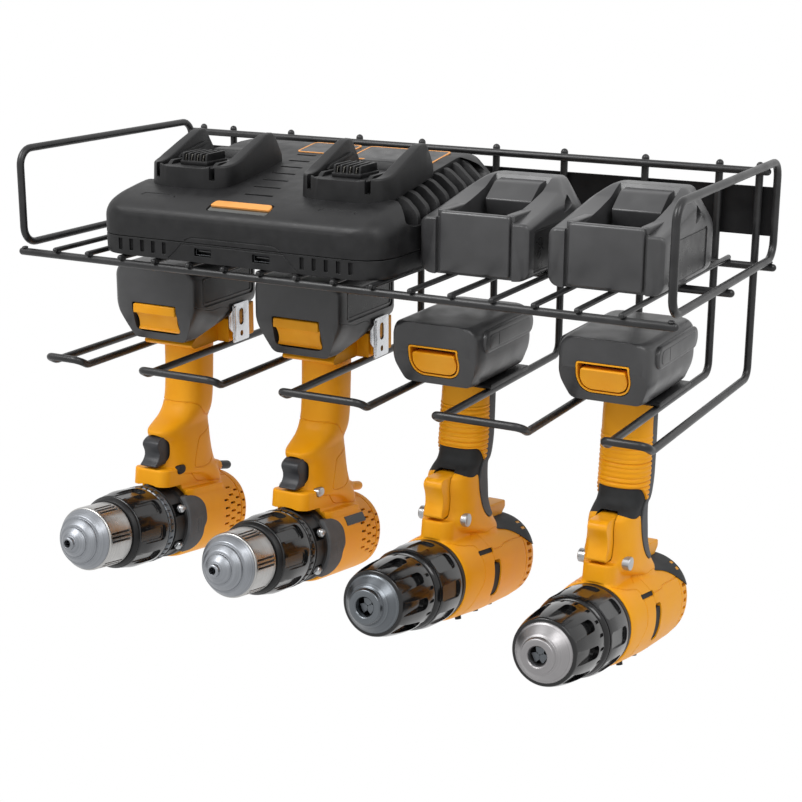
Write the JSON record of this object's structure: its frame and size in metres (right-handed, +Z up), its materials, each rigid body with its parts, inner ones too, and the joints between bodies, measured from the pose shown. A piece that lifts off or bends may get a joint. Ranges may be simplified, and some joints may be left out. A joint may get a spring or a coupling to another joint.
{
  "type": "power tool charging station",
  "caption": "Wall-mounted wire rack with a shelf holding a twin battery charger and spare packs, and arms below from which cordless drills hang.",
  "frame": {"origin": "centre of the back plate's rear face, on the wall", "axes": "+X to the right of someone facing the wall, -Y away from the wall, +Z up"},
  "size_m": [0.459, 0.2495, 0.3318],
  "materials": {
    "powder_coat": "fine satin black powder coat",
    "charger_black": "fine spark texture",
    "pack_grey": "fine spark texture",
    "yellow_plastic": "satin moulded",
    "trigger_grey": "fine matt",
    "dark_metal": "turned, blackened",
    "collar_black": "satin moulded",
    "bright_steel": "turned or stamped, bright",
    "black_plastic": "satin moulded",
    "board_green": "solder-mask lacquer"
  },
  "bodies": {
    "rack": {"back_plate": "powder_coat", "top_rail": "powder_coat", "shelf_grid": "powder_coat", "side_guard_left": "powder_coat", "side_guard_right": "powder_coat", "tool_loop_1": "powder_coat", "tool_loop_2": "powder_coat", "tool_loop_3": "powder_coat", "tool_loop_4": "powder_coat", "tool_loop_5": "powder_coat"},
    "charger": {"charger_base": "charger_black", "charger_board": "board_green", "charger_cover": "charger_black", "dock_left": "charger_black", "dock_right": "charger_black", "dock_contacts_left": "black_plastic", "dock_contacts_right": "black_plastic"},
    "spare_pack_1": {"spare_pack_1": "pack_grey"},
    "spare_pack_1_latch": {"spare_pack_1_latch": "yellow_plastic"},
    "spare_pack_2": {"spare_pack_2": "pack_grey"},
    "spare_pack_2_latch": {"spare_pack_2_latch": "yellow_plastic"},
    "drill_1": {"drill_1_housing": "yellow_plastic", "drill_1_drive": "black_plastic", "drill_1_rear_cap": "yellow_plastic", "drill_1_belt_clip": "bright_steel"},
    "drill_1_trigger": {"drill_1_trigger": "trigger_grey"},
    "drill_1_direction_button": {"drill_1_direction_button": "trigger_grey"},
    "drill_1_clutch_ring": {"drill_1_clutch_ring": "collar_black"},
    "drill_1_chuck": {"drill_1_chuck": "bright_steel"},
    "drill_1_pack": {"drill_1_pack": "pack_grey"},
    "drill_1_pack_latch": {"drill_1_pack_latch": "yellow_plastic"},
    "drill_2": {"drill_2_housing": "yellow_plastic", "drill_2_drive": "black_plastic", "drill_2_rear_cap": "yellow_plastic", "drill_2_belt_clip": "bright_steel"},
    "drill_2_trigger": {"drill_2_trigger": "trigger_grey"},
    "drill_2_direction_button": {"drill_2_direction_button": "trigger_grey"},
    "drill_2_clutch_ring": {"drill_2_clutch_ring": "collar_black"},
    "drill_2_chuck": {"drill_2_chuck": "bright_steel"},
    "drill_2_pack": {"drill_2_pack": "pack_grey"},
    "drill_2_pack_latch": {"drill_2_pack_latch": "yellow_plastic"},
    "drill_3": {"drill_3_housing": "yellow_plastic", "drill_3_drive": "black_plastic", "drill_3_rear_cap": "trigger_grey"},
    "drill_3_trigger": {"drill_3_trigger": "yellow_plastic"},
    "drill_3_direction_button": {"drill_3_direction_button": "trigger_grey"},
    "drill_3_clutch_ring": {"drill_3_clutch_ring": "collar_black"},
    "drill_3_chuck": {"drill_3_chuck": "dark_metal"},
    "drill_3_pack": {"drill_3_pack": "pack_grey"},
    "drill_3_pack_latch": {"drill_3_pack_latch": "yellow_plastic"},
    "drill_4": {"drill_4_housing": "yellow_plastic", "drill_4_drive": "black_plastic", "drill_4_rear_cap": "trigger_grey"},
    "drill_4_trigger": {"drill_4_trigger": "yellow_plastic"},
    "drill_4_direction_button": {"drill_4_direction_button": "trigger_grey"},
    "drill_4_clutch_ring": {"drill_4_clutch_ring": "collar_black"},
    "drill_4_chuck": {"drill_4_chuck": "dark_metal"},
    "drill_4_pack": {"drill_4_pack": "pack_grey"},
    "drill_4_pack_latch": {"drill_4_pack_latch": "yellow_plastic"}
  },
  "joints": [
    {"name": "charger_lift_off", "type": "slide", "parent": "rack", "child": "charger", "axis": [0, 0, 1], "range_m": [0, 0.12]},
    {"name": "spare_pack_1_lift_off", "type": "slide", "parent": "rack", "child": "spare_pack_1", "axis": [0, 0, 1], "range_m": [0, 0.12]},
    {"name": "spare_pack_1_latch_press", "type": "slide", "parent": "spare_pack_1", "child": "spare_pack_1_latch", "axis": [0, -1, 0], "range_m": [0, 0.003], "stiffness_N_per_m": 1200, "springref_m": -0.001},
    {"name": "spare_pack_2_lift_off", "type": "slide", "parent": "rack", "child": "spare_pack_2", "axis": [0, 0, 1], "range_m": [0, 0.12]},
    {"name": "spare_pack_2_latch_press", "type": "slide", "parent": "spare_pack_2", "child": "spare_pack_2_latch", "axis": [0, -1, 0], "range_m": [0, 0.003], "stiffness_N_per_m": 1200, "springref_m": -0.001},
    {"name": "drill_1_slide_out", "type": "slide", "parent": "rack", "child": "drill_1", "axis": [0, -0.9976, 0.0698], "range_m": [0, 0.2]},
    {"name": "drill_1_trigger_pull", "type": "slide", "parent": "drill_1", "child": "drill_1_trigger", "axis": [0, 1, 0], "range_m": [0, 0.007], "stiffness_N_per_m": 600, "springref_m": -0.002},
    {"name": "drill_1_direction_shift", "type": "slide", "parent": "drill_1", "child": "drill_1_direction_button", "axis": [1, 0, 0], "range_m": [-0.0025, 0.0025]},
    {"name": "drill_1_clutch_turn", "type": "hinge", "parent": "drill_1", "child": "drill_1_clutch_ring", "pos_m": [-0.1617, -0.112, -0.2346], "axis": [0, -0.989, 0.1478], "range_deg": [0, 300]},
    {"name": "drill_1_chuck_spin", "type": "hinge", "parent": "drill_1", "child": "drill_1_chuck", "pos_m": [-0.1617, -0.112, -0.2346], "axis": [0, -0.989, 0.1478], "continuous": true},
    {"name": "drill_1_pack_slide", "type": "slide", "parent": "drill_1", "child": "drill_1_pack", "axis": [0, -1, 0], "range_m": [0, 0.055]},
    {"name": "drill_1_pack_latch_press", "type": "slide", "parent": "drill_1_pack", "child": "drill_1_pack_latch", "axis": [0, 1, 0], "range_m": [0, 0.003], "stiffness_N_per_m": 1200, "springref_m": -0.001},
    {"name": "drill_2_slide_out", "type": "slide", "parent": "rack", "child": "drill_2", "axis": [0, -0.9976, 0.0698], "range_m": [0, 0.2]},
    {"name": "drill_2_trigger_pull", "type": "slide", "parent": "drill_2", "child": "drill_2_trigger", "axis": [0, 1, 0], "range_m": [0, 0.007], "stiffness_N_per_m": 600, "springref_m": -0.002},
    {"name": "drill_2_direction_shift", "type": "slide", "parent": "drill_2", "child": "drill_2_direction_button", "axis": [1, 0, 0], "range_m": [-0.0025, 0.0025]},
    {"name": "drill_2_clutch_turn", "type": "hinge", "parent": "drill_2", "child": "drill_2_clutch_ring", "pos_m": [-0.0539, -0.103, -0.2361], "axis": [0, -0.989, 0.1478], "range_deg": [0, 300]},
    {"name": "drill_2_chuck_spin", "type": "hinge", "parent": "drill_2", "child": "drill_2_chuck", "pos_m": [-0.0539, -0.103, -0.2361], "axis": [0, -0.989, 0.1478], "continuous": true},
    {"name": "drill_2_pack_slide", "type": "slide", "parent": "drill_2", "child": "drill_2_pack", "axis": [0, -1, 0], "range_m": [0, 0.055]},
    {"name": "drill_2_pack_latch_press", "type": "slide", "parent": "drill_2_pack", "child": "drill_2_pack_latch", "axis": [0, 1, 0], "range_m": [0, 0.003], "stiffness_N_per_m": 1200, "springref_m": -0.001},
    {"name": "drill_3_slide_out", "type": "slide", "parent": "rack", "child": "drill_3", "axis": [0, -0.9976, 0.0698], "range_m": [0, 0.2]},
    {"name": "drill_3_trigger_pull", "type": "slide", "parent": "drill_3", "child": "drill_3_trigger", "axis": [0, 1, 0], "range_m": [0, 0.007], "stiffness_N_per_m": 600, "springref_m": -0.002},
    {"name": "drill_3_direction_shift", "type": "slide", "parent": "drill_3", "child": "drill_3_direction_button", "axis": [1, 0, 0], "range_m": [-0.0025, 0.0025]},
    {"name": "drill_3_clutch_turn", "type": "hinge", "parent": "drill_3", "child": "drill_3_clutch_ring", "pos_m": [0.0539, -0.102, -0.2396], "axis": [0, -0.989, 0.1478], "range_deg": [0, 300]},
    {"name": "drill_3_chuck_spin", "type": "hinge", "parent": "drill_3", "child": "drill_3_chuck", "pos_m": [0.0539, -0.102, -0.2396], "axis": [0, -0.989, 0.1478], "continuous": true},
    {"name": "drill_3_pack_slide", "type": "slide", "parent": "drill_3", "child": "drill_3_pack", "axis": [0, -1, 0], "range_m": [0, 0.055]},
    {"name": "drill_3_pack_latch_press", "type": "slide", "parent": "drill_3_pack", "child": "drill_3_pack_latch", "axis": [0, 1, 0], "range_m": [0, 0.003], "stiffness_N_per_m": 1200, "springref_m": -0.001},
    {"name": "drill_4_slide_out", "type": "slide", "parent": "rack", "child": "drill_4", "axis": [0, -0.9976, 0.0698], "range_m": [0, 0.2]},
    {"name": "drill_4_trigger_pull", "type": "slide", "parent": "drill_4", "child": "drill_4_trigger", "axis": [0, 1, 0], "range_m": [0, 0.007], "stiffness_N_per_m": 600, "springref_m": -0.002},
    {"name": "drill_4_direction_shift", "type": "slide", "parent": "drill_4", "child": "drill_4_direction_button", "axis": [1, 0, 0], "range_m": [-0.0025, 0.0025]},
    {"name": "drill_4_clutch_turn", "type": "hinge", "parent": "drill_4", "child": "drill_4_clutch_ring", "pos_m": [0.1617, -0.089, -0.2536], "axis": [0, -0.989, 0.1478], "range_deg": [0, 300]},
    {"name": "drill_4_chuck_spin", "type": "hinge", "parent": "drill_4", "child": "drill_4_chuck", "pos_m": [0.1617, -0.089, -0.2536], "axis": [0, -0.989, 0.1478], "continuous": true},
    {"name": "drill_4_pack_slide", "type": "slide", "parent": "drill_4", "child": "drill_4_pack", "axis": [0, -1, 0], "range_m": [0, 0.055]},
    {"name": "drill_4_pack_latch_press", "type": "slide", "parent": "drill_4_pack", "child": "drill_4_pack_latch", "axis": [0, 1, 0], "range_m": [0, 0.003], "stiffness_N_per_m": 1200, "springref_m": -0.001}
  ]
}
